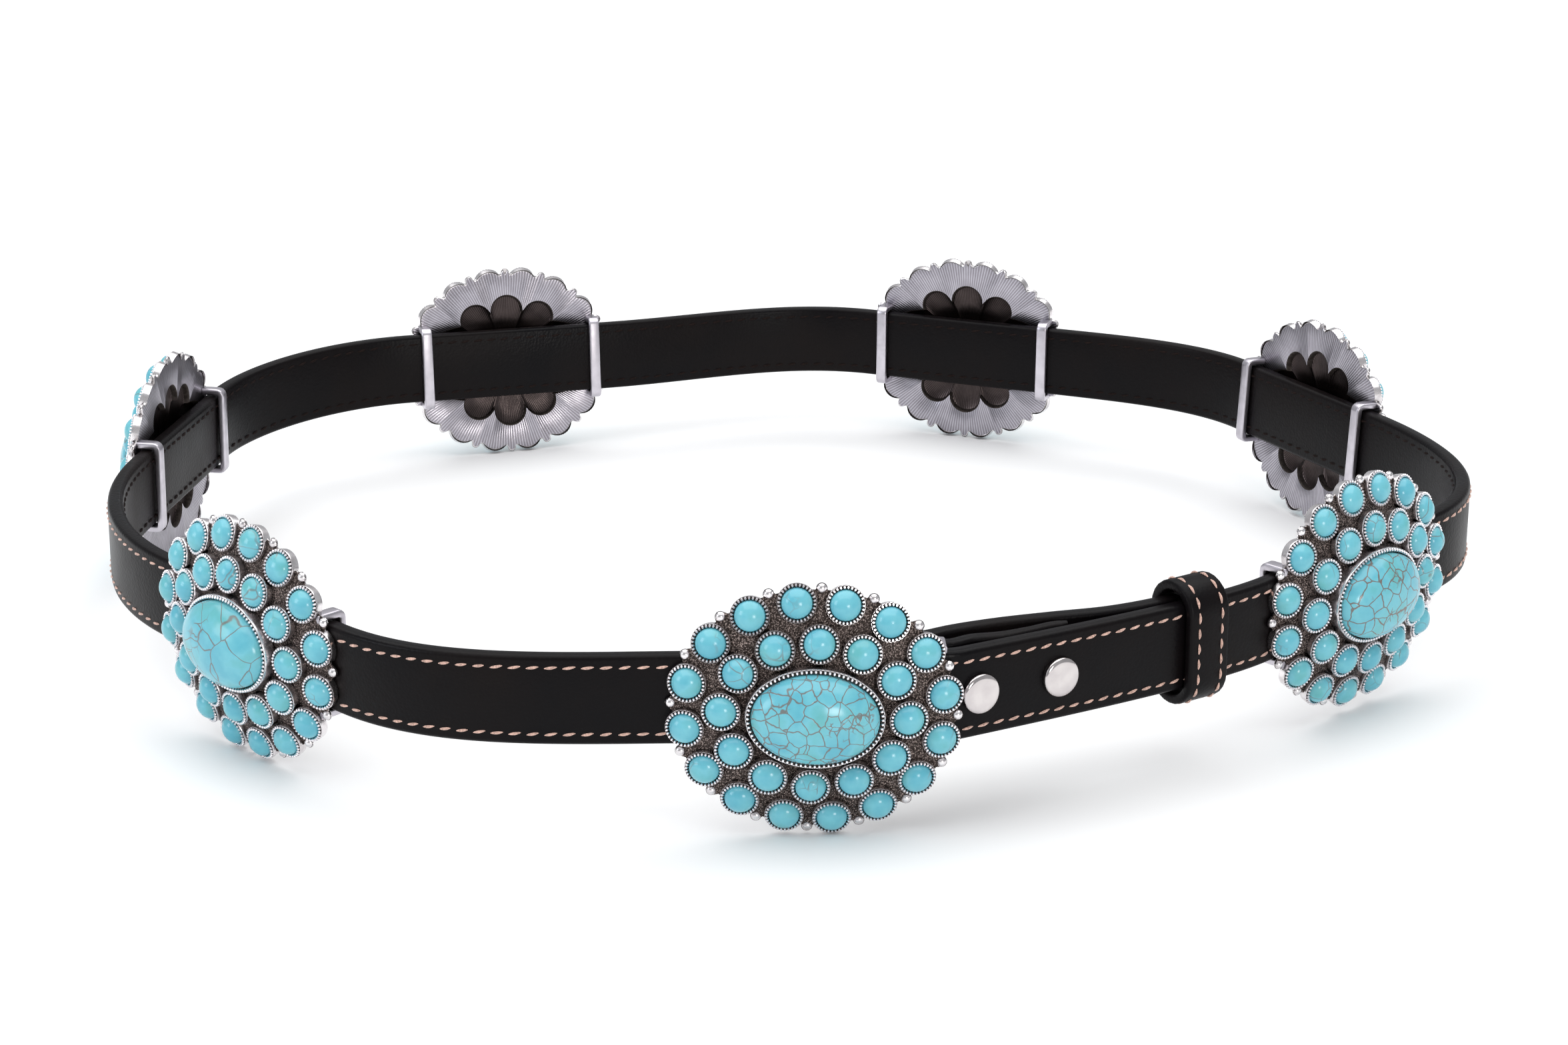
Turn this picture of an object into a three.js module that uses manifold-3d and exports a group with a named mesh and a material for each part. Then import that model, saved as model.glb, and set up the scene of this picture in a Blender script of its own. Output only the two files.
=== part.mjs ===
// Concho belt: seven domed oval conchos set with turquoise on a stitched leather strap,
// fastened into a loop by a hook behind the buckle concho and standing on the conchos' lower edges.
// Millimetres and degrees, +Z up, the wearer's front towards -Y.
import * as THREE from 'three';
import { mergeVertices } from 'three/addons/utils/BufferGeometryUtils.js';
import Module from 'manifold-3d';

const wasm = await Module();
wasm.setup();

// Driving dimensions
const clearance = 0.3;

const strap = {
  width: 18,
  thickness: 3.4,
  edgeRound: 0.8,
  straightBehindConcho: 27, // half of the straight run behind each concho
  stepsBetweenConchos: 5,
  holeRadius: 2.2,
  holeSides: 8,
  holePitch: 25,
  holeCount: 4,
};

// The oval face of a concho bulges by one radius across and another down
const face = {
  domeRadiusAcross: 94,
  domeRadiusDown: 71,
  // depths behind the front of the centre bezel, shares of the plate's half width and height
  slopes: [
    { share: 0.42, depth: 2 },
    { share: 1, depth: 5.15 },
  ],
  lipDepth: 6.3, // flat back of the thick rim
  rimShare: 0.74,
  hollowShare: 0.66,
  hollowDepth: 4.5,
  backDepth: 2.9,
  notchReach: 1.8, // how far the plate stands past the rim cups' centres
};

// Rings of small round cups: half axes of the oval that their centres lie on
const cupRings = [
  {
    count: 16,
    halfWidth: 24.9,
    halfHeight: 21.8,
    rimDepth: 0.7,
    firstStep: 0.5,
    cupRadius: 3.9,
    reachesLip: true,
  },
  {
    count: 12,
    halfWidth: 17.7,
    halfHeight: 14.3,
    rimDepth: 0,
    firstStep: 0,
    cupRadius: 3.4,
    reachesLip: false,
  },
];
const cup = { sides: 10, stoneHeight: 1.9, footBelowRim: 2.6 };

const bezel = {
  halfWidth: 13.2,
  halfHeight: 10,
  backDepth: 2.6,
  openingHalfWidth: 12.5,
  openingHalfHeight: 9.2,
  floorDepth: 1.5,
};
const centreStone = { halfWidth: 12.2, halfHeight: 8.9, height: 6.8, girdleHeight: 1.5, sides: 14 };

// Flat wire staples behind each concho hold it on the strap
const staple = { fromMiddle: 22.7, width: 2.8, thickness: 1.6, footDepth: 5.5 };
const hook = { fromMiddle: -12.1, size: 2.5, footDepth: 2.9, fingerLength: 6 };

// The buckle is tipped clockwise on the level strap, so its bar sits higher on it than its middle.
// Right after the bar the strap bends back towards the next concho.
const buckleStrap = { barRise: 2.9, turnStart: 24.4, turnRadius: 8, turn: 27.5, handleShares: [0.34, 0.22] };

const rivet = {
  capRadius: 4, capHeight: 1.2, postRadius: 1.5, backRadius: 2.8, backHeight: 0.9, holeRadius: 2, sides: 10,
};
const rivetPlaces = [
  { name: 'rivet_1', along: 31 },
  { name: 'rivet_2', along: 49.3 },
];

const keeper = { along: 84, width: 10, wall: 2.1, innerHalfDepth: 4.3, innerHalfHeight: 10.9, inward: 2.05 };

// Where the conchos stand, in the order of the strap from the buckle's bar round to its hook.
// x, y: middle of the bezel front. facing: 0 is the front, 90 the right side.
// lean: top tipped back. roll: clockwise as seen from outside. lift: held clear of the table.
const conchoPlaces = [
  { name: 'buckle', x: 6.2, y: -122.1, facing: 1.5, lean: 2.4, roll: 3.3, lift: 0 },
  { name: 'right_front', x: 123.3, y: -62.0, facing: 40.8, lean: 1.7, roll: -1.5, lift: 1.7 },
  { name: 'right_side', x: 137.9, y: 63.5, facing: 115.8, lean: -2.6, roll: 1, lift: 0.8 },
  { name: 'rear_right', x: 52.4, y: 134.3, facing: 158.3, lean: 0, roll: 0, lift: 0 },
  { name: 'rear_left', x: -75.7, y: 123.8, facing: 197.7, lean: -5.4, roll: -0.9, lift: 0 },
  { name: 'left_side', x: -152.8, y: 36.3, facing: 262.6, lean: 1.7, roll: -0.8, lift: 0 },
  { name: 'left_front', x: -111.0, y: -84.6, facing: 317.1, lean: 1.4, roll: 0, lift: 0.3 },
];

// Strap end turned back round the buckle's bar, then riveted: places along the strap from the
// buckle's middle, distance in from the front layer, and thickness where the leather is pared down
const turnedEnd = [
  { along: 54, inward: 2.9, thickness: 1.4 },
  { along: 52.5, inward: 3.4, thickness: 2.4 },
  { along: 45.5, inward: 3.4, thickness: 2.4 },
  { along: 39, inward: 3.7, thickness: 3 },
  { along: 33.6, inward: 5.2, thickness: 3 },
  { along: 26.55, inward: 5.14, thickness: 3 },
  { along: 24.5, inward: 5.32, thickness: 2.8 },
];

// Free end past the hook: it swings in behind the turned end and closes up again in the keeper.
// Its last rows are narrower, for the rounded tip.
const freeEnd = [
  { along: -8, inward: 0 },
  { along: 2, inward: 2.6 },
  { along: 12, inward: 7.2 },
  { along: 22, inward: 10.2 },
  { along: 32, inward: 11.4 },
  { along: 42, inward: 10.6 },
  { along: 54, inward: 8.2 },
  { along: 66, inward: 5.2 },
  { along: 76, inward: 4.2 },
  { along: 82, inward: 4.1 },
  { along: 85, inward: 4.1, width: 15 },
  { along: 86.5, inward: 4.1, width: 9 },
];

// Depths worked out from the sizes above, all measured back from the bezel front
const strapDepth = face.lipDepth + clearance + strap.thickness / 2;
const barDepth = strapDepth + strap.thickness / 2 + clearance + staple.thickness / 2;
const legHeight = strap.width / 2 + clearance + staple.thickness / 2;
const foldRadius = barDepth - strapDepth;
const foldSteps = 5;
const foldCentre = staple.fromMiddle - 1.1;
const bendHandle = 0.36; // length of a bend's handles as a share of its chord
const bendSamples = 48;
const turnSteps = 4;

const leather = new THREE.MeshStandardMaterial({ color: 0x17171c, roughness: 0.45, metalness: 0 });
const silver = new THREE.MeshStandardMaterial({ color: 0xb9b4ae, roughness: 0.35, metalness: 1 });
const turquoise = new THREE.MeshStandardMaterial({ color: 0x55b4c4, roughness: 0.25, metalness: 0 });
const nickel = new THREE.MeshStandardMaterial({ color: 0xd4d2d0, roughness: 0.12, metalness: 1 });

const radians = THREE.MathUtils.degToRad;

// Solids

// A closed stack of rings, each with the same number of points, between two end points
function stack(startPoint, rings, endPoint) {
  const count = rings[0].length;
  const points = [startPoint, ...rings.flat(), endPoint];
  const last = points.length - 1;
  const indices = [];
  for (let i = 0; i < count; i += 1) {
    const next = (i + 1) % count;
    indices.push(0, 1 + next, 1 + i);
    indices.push(last, last - count + i, last - count + next);
    for (let r = 0; r < rings.length - 1; r += 1) {
      const low = 1 + r * count;
      const high = low + count;
      indices.push(low + i, low + next, high + next);
      indices.push(low + i, high + next, high + i);
    }
  }
  const geometry = new THREE.BufferGeometry().setFromPoints(points);
  geometry.setIndex(indices);
  return geometry;
}

function toSolid(geometry) {
  const bare = geometry.clone();
  bare.deleteAttribute('normal');
  bare.deleteAttribute('uv');
  const welded = mergeVertices(bare, 1e-4);
  const mesh = new wasm.Mesh({
    numProp: 3,
    vertProperties: new Float32Array(welded.attributes.position.array),
    triVerts: new Uint32Array(welded.index.array),
  });
  return new wasm.Manifold(mesh);
}

function toGeometry(solid) {
  const mesh = solid.getMesh();
  const geometry = new THREE.BufferGeometry();
  geometry.setAttribute('position', new THREE.BufferAttribute(new Float32Array(mesh.vertProperties), 3));
  geometry.setIndex(new THREE.BufferAttribute(new Uint32Array(mesh.triVerts), 1));
  geometry.computeVertexNormals();
  return geometry;
}

function joinAll(solids) {
  return solids.reduce((whole, piece) => whole.add(piece));
}

// Concho face

function drop(x, z) {
  return x * x / (2 * face.domeRadiusAcross) + z * z / (2 * face.domeRadiusDown);
}

// Points at even steps of length round an oval, clockwise from the top as seen from outside
function evenlyRoundOval(halfWidth, halfHeight, count, firstStep) {
  const oval = new THREE.EllipseCurve(0, 0, halfWidth, halfHeight, Math.PI / 2, Math.PI * 2.5, false);
  oval.arcLengthDivisions = 720;
  const places = [];
  for (let i = 0; i < count; i += 1) {
    const place = oval.getPointAt(((i + firstStep) / count) % 1);
    places.push({ x: -place.x, z: place.y });
  }
  return places;
}

function ovalRing(halfWidth, halfHeight, depth, sides) {
  const ring = [];
  for (let i = 0; i < sides; i += 1) {
    const angle = 2 * Math.PI * (i + 0.5) / sides;
    ring.push(new THREE.Vector3(halfWidth * Math.sin(angle), depth, halfHeight * Math.cos(angle)));
  }
  return ring;
}

// A small round cup with its domed stone. Its rim lies square to the bulging face.
// Rim cups have straight walls down to the lip; the others stand square to the face.
function cupWithStone(x, z, row) {
  const outward = new THREE.Vector3(x / face.domeRadiusAcross, -1, z / face.domeRadiusDown).normalize();
  const across = new THREE.Vector3(0, 0, 1).cross(outward).negate().normalize();
  const upward = new THREE.Vector3().crossVectors(outward, across).normalize();
  const centre = new THREE.Vector3(x, row.rimDepth + drop(x, z), z);
  const rim = [];
  const foot = [];
  for (let i = 0; i < cup.sides; i += 1) {
    const angle = 2 * Math.PI * (i + 0.5) / cup.sides;
    const point = centre.clone();
    point.addScaledVector(across, row.cupRadius * Math.sin(angle));
    point.addScaledVector(upward, row.cupRadius * Math.cos(angle));
    rim.push(point);
    const below = point.clone();
    if (row.reachesLip) {
      below.y = face.lipDepth;
    } else {
      below.addScaledVector(outward, -cup.footBelowRim);
    }
    foot.push(below);
  }
  const footCentre = centre.clone();
  if (row.reachesLip) {
    footCentre.y = face.lipDepth;
  } else {
    footCentre.addScaledVector(outward, -cup.footBelowRim);
  }
  const top = centre.clone().addScaledVector(outward, cup.stoneHeight);
  return stack(top, [rim, foot], footCentre);
}

// A sixteen-sided plate with a thick rim and a hollow back, its front cut to eight flat slopes
function plate() {
  const rim = cupRings[0];
  const edgeHalfWidth = rim.halfWidth + face.notchReach;
  const edgeHalfHeight = rim.halfHeight + face.notchReach;
  const edge = evenlyRoundOval(edgeHalfWidth, edgeHalfHeight, rim.count, 0);
  const ring = (places, share, depth) => {
    return places.map(({ x, z }) => new THREE.Vector3(x * share, depth, z * share));
  };
  const block = stack(
    new THREE.Vector3(0, 0, 0),
    [
      ring(edge, 1, 0),
      ring(edge, 1, face.lipDepth),
      ring(edge, face.rimShare, face.lipDepth),
      ring(edge, face.hollowShare, face.hollowDepth),
    ],
    new THREE.Vector3(0, face.backDepth, 0),
  );
  const spokes = edge.filter((place, index) => index % 2 === 0);
  const [top, foot] = face.slopes;
  const beyond = 1.2;
  const depthBeyond = top.depth + (foot.depth - top.depth) * (beyond - top.share) / (foot.share - top.share);
  const slopes = stack(
    new THREE.Vector3(0, top.depth, 0),
    [
      ring(spokes, top.share, top.depth),
      ring(spokes, beyond, depthBeyond),
      ring(spokes, beyond, 2 * face.lipDepth),
    ],
    new THREE.Vector3(0, 2 * face.lipDepth, 0),
  );
  return toSolid(block).intersect(toSolid(slopes));
}

function ovalBlock(halfWidth, halfHeight, backDepth, frontDepth) {
  const rings = [
    ovalRing(halfWidth, halfHeight, frontDepth, centreStone.sides),
    ovalRing(halfWidth, halfHeight, backDepth, centreStone.sides),
  ];
  return stack(new THREE.Vector3(0, frontDepth, 0), rings, new THREE.Vector3(0, backDepth, 0));
}

// Flat wire bent into a staple: drawn from the side, then extruded across its width
function stapleBar(fromMiddle) {
  const outerHeight = legHeight + staple.thickness / 2;
  const innerHeight = legHeight - staple.thickness / 2;
  const outerDepth = barDepth + staple.thickness / 2;
  const innerDepth = barDepth - staple.thickness / 2;
  const side = new THREE.Shape();
  side.moveTo(staple.footDepth, outerHeight);
  side.lineTo(staple.footDepth, innerHeight);
  side.lineTo(innerDepth, innerHeight);
  side.lineTo(innerDepth, -innerHeight);
  side.lineTo(staple.footDepth, -innerHeight);
  side.lineTo(staple.footDepth, -outerHeight);
  side.lineTo(outerDepth, -outerHeight);
  side.lineTo(outerDepth, outerHeight);
  const geometry = new THREE.ExtrudeGeometry(side, { depth: staple.width, bevelEnabled: false });
  geometry.translate(0, 0, fromMiddle - staple.width / 2);
  // drawn in (y, z) and extruded along x
  const turn = new THREE.Matrix4().makeBasis(
    new THREE.Vector3(0, 1, 0),
    new THREE.Vector3(0, 0, 1),
    new THREE.Vector3(1, 0, 0),
  );
  return geometry.applyMatrix4(turn);
}

// How far above the buckle's middle line the level strap passes
function strapRise(along) {
  const reach = strap.straightBehindConcho;
  return buckleStrap.barRise * (along + reach) / (staple.fromMiddle + reach);
}

// The buckle's hook: a square peg through the strap with a finger bent towards the incoming strap
function hookPeg() {
  const half = hook.size / 2;
  const fingerFront = strapDepth + strap.thickness / 2 + clearance;
  const fingerBack = fingerFront + hook.size;
  const plan = new THREE.Shape();
  plan.moveTo(hook.fromMiddle + half, hook.footDepth);
  plan.lineTo(hook.fromMiddle + half, fingerBack);
  plan.lineTo(hook.fromMiddle - half - hook.fingerLength, fingerBack);
  plan.lineTo(hook.fromMiddle - half - hook.fingerLength, fingerFront);
  plan.lineTo(hook.fromMiddle - half, fingerFront);
  plan.lineTo(hook.fromMiddle - half, hook.footDepth);
  const geometry = new THREE.ExtrudeGeometry(plan, { depth: hook.size, bevelEnabled: false });
  return geometry.translate(0, 0, strapRise(hook.fromMiddle) - half);
}

function castConcho(isBuckle) {
  const pieces = [plate()];
  for (const row of cupRings) {
    for (const { x, z } of evenlyRoundOval(row.halfWidth, row.halfHeight, row.count, row.firstStep)) {
      pieces.push(toSolid(cupWithStone(x, z, row)));
    }
  }
  pieces.push(toSolid(ovalBlock(bezel.halfWidth, bezel.halfHeight, bezel.backDepth, 0)));
  const bar = stapleBar(staple.fromMiddle);
  bar.translate(0, 0, isBuckle ? buckleStrap.barRise : 0);
  pieces.push(toSolid(bar));
  pieces.push(toSolid(isBuckle ? hookPeg() : stapleBar(-staple.fromMiddle)));
  const recess = ovalBlock(bezel.openingHalfWidth, bezel.openingHalfHeight, bezel.floorDepth, -1);
  return toGeometry(joinAll(pieces).subtract(toSolid(recess)));
}

function cabochon() {
  const base = bezel.floorDepth - clearance;
  const domeHeight = centreStone.height - centreStone.girdleHeight;
  const girdle = base - centreStone.girdleHeight;
  const rings = [0.68, 1].map((spread) => {
    const rise = domeHeight * Math.sqrt(1 - spread * spread);
    const depth = girdle - rise;
    const halfWidth = centreStone.halfWidth * spread;
    return ovalRing(halfWidth, centreStone.halfHeight * spread, depth, centreStone.sides);
  });
  rings.push(ovalRing(centreStone.halfWidth, centreStone.halfHeight, base, centreStone.sides));
  return stack(new THREE.Vector3(0, base - centreStone.height, 0), rings, new THREE.Vector3(0, base, 0));
}

// Places: each concho is turned and then lowered until its lowest point stands at z = 0

function placeConcho(place, geometry) {
  const turn = new THREE.Euler(radians(-place.lean), radians(place.roll), radians(place.facing), 'ZXY');
  const turned = geometry.clone().applyMatrix4(new THREE.Matrix4().makeRotationFromEuler(turn));
  turned.computeBoundingBox();
  const position = new THREE.Vector3(place.x, place.y, place.lift - turned.boundingBox.min.z);
  const matrix = new THREE.Matrix4().makeRotationFromEuler(turn).setPosition(position);
  return { ...place, turn, position, matrix };
}

const plainConcho = castConcho(false);
const buckleConcho = castConcho(true);
const castingFor = (name) => (name === 'buckle' ? buckleConcho : plainConcho);
const stations = conchoPlaces.map((place) => placeConcho(place, castingFor(place.name)));

// The waist line: straight behind each concho, one smooth bend between two of them

function stationPoint(station, along) {
  const rise = station.name === 'buckle' ? strapRise(along) : 0;
  return new THREE.Vector3(along, strapDepth, rise).applyMatrix4(station.matrix);
}

function stationForward(station) {
  return stationPoint(station, 1).sub(stationPoint(station, 0)).normalize();
}

// The station's upward direction, made square to the strap
function stationUp(station) {
  const forward = stationForward(station);
  const up = new THREE.Vector3(0, 0, 1).transformDirection(station.matrix);
  return up.addScaledVector(forward, -up.dot(forward)).normalize();
}

// Short arc that takes the strap back right after the buckle's bar
function turnAfterBar(station) {
  const forward = stationForward(station);
  const inward = new THREE.Vector3().crossVectors(stationUp(station), forward).normalize();
  const start = stationPoint(station, buckleStrap.turnStart);
  const points = [];
  for (let i = 0; i <= turnSteps; i += 1) {
    const angle = radians(buckleStrap.turn) * i / turnSteps;
    const point = start.clone().addScaledVector(forward, buckleStrap.turnRadius * Math.sin(angle));
    points.push(point.addScaledVector(inward, buckleStrap.turnRadius * (1 - Math.cos(angle))));
  }
  const turn = radians(buckleStrap.turn);
  const leaving = forward.multiplyScalar(Math.cos(turn)).addScaledVector(inward, Math.sin(turn));
  return { points, leaving };
}

function waistLine() {
  const samples = [];
  const half = strap.straightBehindConcho;
  stations.forEach((station, index) => {
    const next = stations[(index + 1) % stations.length];
    const up = stationUp(station);
    const nextUp = stationUp(next);
    samples.push({ point: stationPoint(station, -half), up });
    samples.push({ point: stationPoint(station, 0), up, station });
    let start = stationPoint(station, half);
    let leaving = stationForward(station);
    let handles = [bendHandle, bendHandle];
    if (station.name === 'buckle') {
      const turn = turnAfterBar(station);
      turn.points.slice(0, -1).forEach((point) => samples.push({ point, up }));
      start = turn.points[turn.points.length - 1];
      leaving = turn.leaving;
      handles = buckleStrap.handleShares;
    }
    const end = stationPoint(next, -half);
    const chord = start.distanceTo(end);
    const bend = new THREE.CubicBezierCurve3(
      start,
      start.clone().addScaledVector(leaving, handles[0] * chord),
      end.clone().addScaledVector(stationForward(next), -handles[1] * chord),
      end,
    );
    for (let i = 0; i <= bendSamples; i += 1) {
      const share = i / bendSamples;
      samples.push({ point: bend.getPoint(share), up: up.clone().lerp(nextUp, share).normalize() });
    }
  });
  // measured from the buckle's middle
  samples.push(samples.shift());
  let length = 0;
  samples.forEach((sample, index) => {
    const next = samples[(index + 1) % samples.length];
    sample.along = length;
    length += sample.point.distanceTo(next.point);
  });
  return { samples, length };
}

const waist = waistLine();

// Point, upward and inward directions at a distance along the waist line
function waistAt(distance) {
  const along = ((distance % waist.length) + waist.length) % waist.length;
  const { samples } = waist;
  let index = samples.length - 1;
  while (samples[index].along > along) {
    index -= 1;
  }
  const here = samples[index];
  const next = samples[(index + 1) % samples.length];
  const step = here.point.distanceTo(next.point);
  const share = step > 0 ? (along - here.along) / step : 0;
  const before = samples[(index + samples.length - 1) % samples.length];
  const after = samples[(index + 2) % samples.length];
  const tangent = next.point.clone().sub(here.point).normalize();
  const tangentBefore = here.point.clone().sub(before.point).normalize();
  const tangentAfter = after.point.clone().sub(next.point).normalize();
  const entering = tangentBefore.add(tangent).normalize();
  const leaving = tangentAfter.add(tangent).normalize();
  const forward = entering.lerp(leaving, share).normalize();
  const up = here.up.clone().lerp(next.up, share);
  const inward = new THREE.Vector3().crossVectors(up, forward).normalize();
  return { point: here.point.clone().lerp(next.point, share), up: up.normalize(), inward, forward };
}

// Strap: cross sections laid along the waist line, each a flat band with rounded edges

function strapRows() {
  const rows = [...turnedEnd];
  for (let i = 0; i <= foldSteps; i += 1) {
    const angle = Math.PI * i / foldSteps;
    rows.push({
      along: foldCentre - foldRadius * Math.sin(angle),
      inward: foldRadius * (1 + Math.cos(angle)),
    });
  }
  const middles = waist.samples.filter((sample) => sample.station).map((sample) => sample.along);
  const half = strap.straightBehindConcho;
  middles.forEach((middle, index) => {
    const nextMiddle = index + 1 < middles.length ? middles[index + 1] : waist.length;
    let start = middle + half;
    const end = nextMiddle - half;
    if (index === 0) {
      // two more rows round the turn after the bar
      const turnLength = buckleStrap.turnRadius * radians(buckleStrap.turn);
      rows.push({ along: buckleStrap.turnStart, inward: 0 });
      rows.push({ along: buckleStrap.turnStart + turnLength / 2, inward: 0 });
      start = buckleStrap.turnStart + turnLength;
    }
    for (let i = 0; i <= strap.stepsBetweenConchos; i += 1) {
      const along = start + (end - start) * i / strap.stepsBetweenConchos;
      rows.push({ along, inward: 0 });
    }
  });
  for (const row of freeEnd) {
    rows.push({ ...row, along: row.along + waist.length });
  }
  return rows.map((row) => ({ width: strap.width, thickness: strap.thickness, ...row }));
}

function bandSection(width, thickness) {
  const halfWidth = width / 2;
  const halfThickness = thickness / 2;
  const flat = halfWidth - strap.edgeRound;
  return [
    [halfThickness, flat],
    [0, halfWidth],
    [-halfThickness, flat],
    [-halfThickness, -flat],
    [0, -halfWidth],
    [halfThickness, -flat],
  ];
}

function strapBand() {
  const rows = strapRows();
  const centres = rows.map((row) => {
    const { point, inward } = waistAt(row.along);
    return point.clone().addScaledVector(inward, row.inward);
  });
  const rings = rows.map((row, index) => {
    const before = centres[Math.max(index - 1, 0)];
    const after = centres[Math.min(index + 1, rows.length - 1)];
    const here = centres[index];
    const into = here.clone().sub(before).normalize();
    const outOf = after.clone().sub(here).normalize();
    const forward = into.add(outOf).normalize();
    const { up } = waistAt(row.along);
    const side = new THREE.Vector3().crossVectors(up, forward).normalize();
    const square = new THREE.Vector3().crossVectors(forward, side);
    return bandSection(row.width, row.thickness).map(([across, high]) => {
      const point = here.clone().addScaledVector(side, across);
      return point.addScaledVector(square, high);
    });
  });
  return stack(centres[0], rings, centres[centres.length - 1]);
}

// A round cutter through the strap, square to it, between two distances inward
function cutter(along, radius, from, to) {
  const { point, inward } = waistAt(along);
  const cylinder = new THREE.CylinderGeometry(radius, radius, to - from, strap.holeSides);
  cylinder.applyQuaternion(new THREE.Quaternion().setFromUnitVectors(new THREE.Vector3(0, 1, 0), inward));
  const middle = point.addScaledVector(inward, (from + to) / 2);
  return cylinder.translate(middle.x, middle.y, middle.z);
}

// A value between the rows of a table whose places along the strap increase
function between(rows, along, column) {
  const after = rows.findIndex((row) => row.along >= along);
  if (after <= 0) {
    return rows[0][column];
  }
  const low = rows[after - 1];
  const high = rows[after];
  return THREE.MathUtils.mapLinear(along, low.along, high.along, low[column], high[column]);
}

function strapSolid() {
  let solid = toSolid(strapBand());
  for (const { along } of rivetPlaces) {
    const through = foldRadius + 1.4 * strap.thickness;
    solid = solid.subtract(toSolid(cutter(along, rivet.holeRadius, -strap.thickness, through)));
  }
  for (let i = 0; i < strap.holeCount; i += 1) {
    const along = hook.fromMiddle + i * strap.holePitch;
    const inward = between(freeEnd, along, 'inward');
    const reach = strap.thickness;
    const hole = cutter(along + waist.length, strap.holeRadius, inward - reach, inward + reach);
    solid = solid.subtract(toSolid(hole));
  }
  return toGeometry(solid);
}

// Keeper: a leather loop round both layers, its sides flat and its top and bottom round
function keeperLoop() {
  const outline = (halfDepth, halfHeight) => {
    const path = new THREE.Path();
    path.absarc(0, halfHeight - halfDepth, halfDepth, 0, Math.PI, false);
    path.absarc(0, halfDepth - halfHeight, halfDepth, Math.PI, 2 * Math.PI, false);
    return path;
  };
  const roundSteps = 8;
  const outer = outline(keeper.innerHalfDepth + keeper.wall, keeper.innerHalfHeight + keeper.wall);
  const inner = outline(keeper.innerHalfDepth, keeper.innerHalfHeight);
  const band = new THREE.Shape(outer.getPoints(roundSteps));
  band.holes.push(new THREE.Path(inner.getPoints(roundSteps)));
  const geometry = new THREE.ExtrudeGeometry(band, { depth: keeper.width, bevelEnabled: false });
  geometry.translate(0, 0, -keeper.width / 2);
  return geometry;
}

// Rivet: domed cap, post through both layers, and back cap, turned on one axis pointing outward
function rivetBody(along) {
  const backLayer = [...turnedEnd].reverse();
  const inward = between(backLayer, along, 'inward');
  const thickness = between(backLayer, along, 'thickness');
  const front = strap.thickness / 2 + clearance;
  const back = -(inward + thickness / 2 + clearance);
  const profile = [
    new THREE.Vector2(0, back - rivet.backHeight),
    new THREE.Vector2(rivet.backRadius, back - rivet.backHeight),
    new THREE.Vector2(rivet.backRadius, back),
    new THREE.Vector2(rivet.postRadius, back),
    new THREE.Vector2(rivet.postRadius, front),
    new THREE.Vector2(rivet.capRadius, front),
    new THREE.Vector2(rivet.capRadius, front + rivet.capHeight * 0.45),
    new THREE.Vector2(rivet.capRadius * 0.84, front + rivet.capHeight * 0.92),
    new THREE.Vector2(0, front + rivet.capHeight),
  ];
  return new THREE.LatheGeometry(profile, rivet.sides);
}

// The belt

const belt = new THREE.Group();

function addMesh(name, geometry, material) {
  const mesh = new THREE.Mesh(geometry, material);
  mesh.name = name;
  belt.add(mesh);
  return mesh;
}

addMesh('strap', strapSolid(), leather);

const keeperFrame = waistAt(keeper.along);
const keeperMesh = addMesh('keeper', keeperLoop(), leather);
keeperMesh.position.copy(keeperFrame.point).addScaledVector(keeperFrame.inward, keeper.inward);
keeperMesh.quaternion.setFromRotationMatrix(new THREE.Matrix4().makeBasis(
  keeperFrame.inward,
  new THREE.Vector3().crossVectors(keeperFrame.forward, keeperFrame.inward),
  keeperFrame.forward,
));

for (const { name, along } of rivetPlaces) {
  const frame = waistAt(along);
  const mesh = addMesh(name, rivetBody(along), nickel);
  mesh.position.copy(frame.point);
  mesh.quaternion.setFromUnitVectors(new THREE.Vector3(0, 1, 0), frame.inward.clone().negate());
}

for (const station of stations) {
  const isBuckle = station.name === 'buckle';
  const casting = addMesh(isBuckle ? 'buckle' : `concho_${station.name}`, castingFor(station.name), silver);
  const stone = addMesh(`${station.name}_stone`, cabochon(), turquoise);
  for (const mesh of [casting, stone]) {
    mesh.position.copy(station.position);
    mesh.rotation.copy(station.turn);
  }
}

// The origin is the middle of the belt's own box, at the height of what it stands on
const box = new THREE.Box3().setFromObject(belt, true);
const middle = box.getCenter(new THREE.Vector3());
belt.position.set(-middle.x, -middle.y, 0);

export default belt;
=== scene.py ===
# Concho belt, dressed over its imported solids: smooth leather with stitching, silver conchos
# with beaded cups, turquoise stones, a keeper and two rivets.
import math
import random

import bmesh
import bpy
from mathutils import Matrix, Vector


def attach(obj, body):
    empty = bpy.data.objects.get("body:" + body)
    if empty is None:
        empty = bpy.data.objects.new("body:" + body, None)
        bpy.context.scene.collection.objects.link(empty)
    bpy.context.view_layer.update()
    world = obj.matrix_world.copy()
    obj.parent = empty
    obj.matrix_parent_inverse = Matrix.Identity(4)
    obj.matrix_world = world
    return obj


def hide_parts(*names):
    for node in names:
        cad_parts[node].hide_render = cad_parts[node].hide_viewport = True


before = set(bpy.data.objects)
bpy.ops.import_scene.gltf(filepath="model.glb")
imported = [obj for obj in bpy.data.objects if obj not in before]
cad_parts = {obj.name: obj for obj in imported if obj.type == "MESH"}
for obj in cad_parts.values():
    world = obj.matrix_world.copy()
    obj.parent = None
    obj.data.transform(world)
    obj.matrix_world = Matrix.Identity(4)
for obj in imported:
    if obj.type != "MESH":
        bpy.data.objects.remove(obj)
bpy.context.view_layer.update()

dice = random.Random(11)
mm = 0.001  # everything below is in millimetres until it becomes a mesh


# Places shared with the solids

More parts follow.
